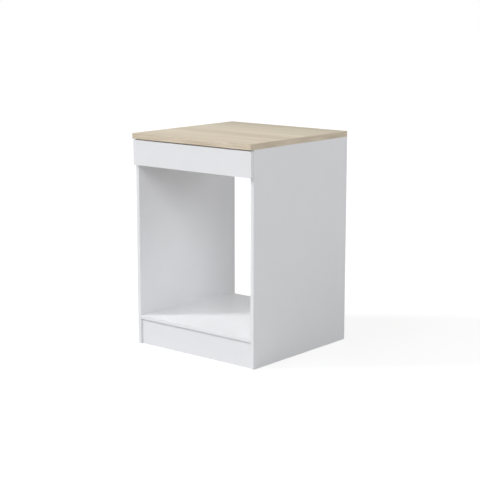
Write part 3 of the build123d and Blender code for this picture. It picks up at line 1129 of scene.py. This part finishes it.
class CABINET_OT_boards(bpy.types.Operator):
    """Faces every board with white melamine or printed oak over raw chipboard"""

    bl_idname = "cabinet.boards"
    bl_label = "Boards"

    def execute(self, context):
        looks = context.scene.cabinet_boards
        for node, axis, oak in BOARDS:
            finish = "oak_print_chipboard" if oak else "white_melamine_chipboard"
            material = faced_board(f"{finish}_{node}", node, axis, oak, looks)
            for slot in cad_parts[node].material_slots:
                slot.material = material
        return {"FINISHED"}


class CABINET_OT_edging(bpy.types.Operator):
    """Lays the plastic edge bands with rounded arrises"""

    bl_idname = "cabinet.edging"
    bl_label = "Edge bands"

    def execute(self, context):
        looks = context.scene.cabinet_edging
        for name, node, axis, sides in EDGINGS:
            if node.startswith("worktop"):
                grain = "x" if axis == "y" else "y"
                material = material_named(f"oak_abs_edging_along_{grain}", oak_abs_edging, grain, looks)
            else:
                material = material_named("white_abs_edging", white_abs_edging, looks)
            for number, side in enumerate(sides, 1):
                full_name = f"{name}_{number}" if len(sides) > 1 else name
                hand_over(edge_strip(full_name, node, axis, side, looks), node, material)
        return {"FINISHED"}


class CABINET_OT_cams(bpy.types.Operator):
    """Sets the zinc cams into the shelf, the plinth and the rails"""

    bl_idname = "cabinet.cams"
    bl_label = "Cams"

    def execute(self, context):
        looks = context.scene.cabinet_fittings
        material = material_named("die_cast_zinc", die_cast_zinc, looks)
        lay_copies(cam_drum(), joint_groups("cam"), material)
        return {"FINISHED"}


class CABINET_OT_cam_bolts(bpy.types.Operator):
    """Screws the cam bolts into the side panels"""

    bl_idname = "cabinet.cam_bolts"
    bl_label = "Cam bolts"

    def execute(self, context):
        looks = context.scene.cabinet_fittings
        material = material_named("zinc_plated_steel", zinc_plated_steel, looks)
        lay_copies(bolt(looks), joint_groups("cam_bolt"), material)
        return {"FINISHED"}


class CABINET_OT_dowels(bpy.types.Operator):
    """Sets the fluted dowels across the joints"""

    bl_idname = "cabinet.dowels"
    bl_label = "Dowels"

    def execute(self, context):
        looks = context.scene.cabinet_fittings
        material = material_named("turned_beech", turned_beech, looks)
        lay_copies(fluted_dowel(looks), joint_groups("dowel", JOINT_PITCH), material)
        return {"FINISHED"}


class CABINET_OT_screws(bpy.types.Operator):
    """Drives the screws of the fascia and of the corner blocks"""

    bl_idname = "cabinet.screws"
    bl_label = "Screws"

    def execute(self, context):
        looks = context.scene.cabinet_fittings
        material = material_named("zinc_plated_steel", zinc_plated_steel, looks)
        fascia_group = {"fascia_screw": fascia_screw_places()}
        lay_copies(fascia_screw(looks), fascia_group, material)
        upwards, at_side = block_hole_places(BLOCK_PLATE)
        block_groups = {
            "worktop_screw": [corner @ upwards for corner in corner_places()],
            "side_panel_screw": [corner @ place for corner in corner_places() for place in at_side],
        }
        lay_copies(block_screw(looks), block_groups, material)
        return {"FINISHED"}


class CABINET_OT_corner_blocks(bpy.types.Operator):
    """Moulds the corner blocks that hold the worktop down"""

    bl_idname = "cabinet.corner_blocks"
    bl_label = "Corner blocks"

    def execute(self, context):
        looks = context.scene.cabinet_fittings
        material = material_named("moulded_polypropylene", moulded_polypropylene, looks)
        group = {"corner_block": corner_places()}
        lay_copies(corner_block(looks), group, material)
        return {"FINISHED"}


class CABINET_OT_studio(bpy.types.Operator):
    """Sets the floor, the surround, the lamps and the camera"""

    bl_idname = "cabinet.studio"
    bl_label = "Studio"

    def execute(self, context):
        looks = context.scene.cabinet_studio
        add_camera(context.scene, looks)
        add_lamp("key_light", looks.key_strength, looks.key_azimuth, looks.key_elevation,
                 looks.key_softness, in_gloss=True)
        for name, setting, *angles in BROAD_LAMPS:
            add_lamp(name, getattr(looks, setting), *map(radians, angles))
        add_surround(context.scene, looks)
        add_floor(looks)
        context.scene.view_settings.view_transform = "Standard"
        return {"FINISHED"}


GROUPS = (
    ("cabinet_boards", CabinetBoards),
    ("cabinet_edging", CabinetEdging),
    ("cabinet_fittings", CabinetFittings),
    ("cabinet_studio", CabinetStudio),
)
OPERATORS = (
    CABINET_OT_boards,
    CABINET_OT_edging,
    CABINET_OT_cams,
    CABINET_OT_cam_bolts,
    CABINET_OT_dowels,
    CABINET_OT_screws,
    CABINET_OT_corner_blocks,
    CABINET_OT_studio,
)


class CABINET_PT_looks(bpy.types.Panel):
    """Lists the cabinet's operators and settings"""

    bl_idname = "CABINET_PT_looks"
    bl_label = "Oven base cabinet"
    bl_space_type = "VIEW_3D"
    bl_region_type = "UI"
    bl_category = "Cabinet"

    def draw(self, context):
        layout = self.layout
        for operator in OPERATORS:
            layout.operator(operator.bl_idname)
        for name, group in GROUPS:
            box = layout.box()
            box.label(text=group.__doc__)
            for setting in group.__annotations__:
                box.prop(getattr(context.scene, name), setting)


def register():
    for name, group in GROUPS:
        bpy.utils.register_class(group)
        setattr(bpy.types.Scene, name, PointerProperty(type=group))
    for item in (*OPERATORS, CABINET_PT_looks):
        bpy.utils.register_class(item)


def unregister():
    for item in (CABINET_PT_looks, *reversed(OPERATORS)):
        bpy.utils.unregister_class(item)
    for name, group in reversed(GROUPS):
        delattr(bpy.types.Scene, name)
        bpy.utils.unregister_class(group)


def main():
    """Dresses the cabinet and sets up the studio."""
    register()
    deselect()
    bpy.ops.cabinet.boards()
    bpy.ops.cabinet.edging()
    bpy.ops.cabinet.cams()
    bpy.ops.cabinet.cam_bolts()
    bpy.ops.cabinet.dowels()
    bpy.ops.cabinet.screws()
    bpy.ops.cabinet.corner_blocks()
    bpy.ops.cabinet.studio()


if __name__ == "__main__":
    main()
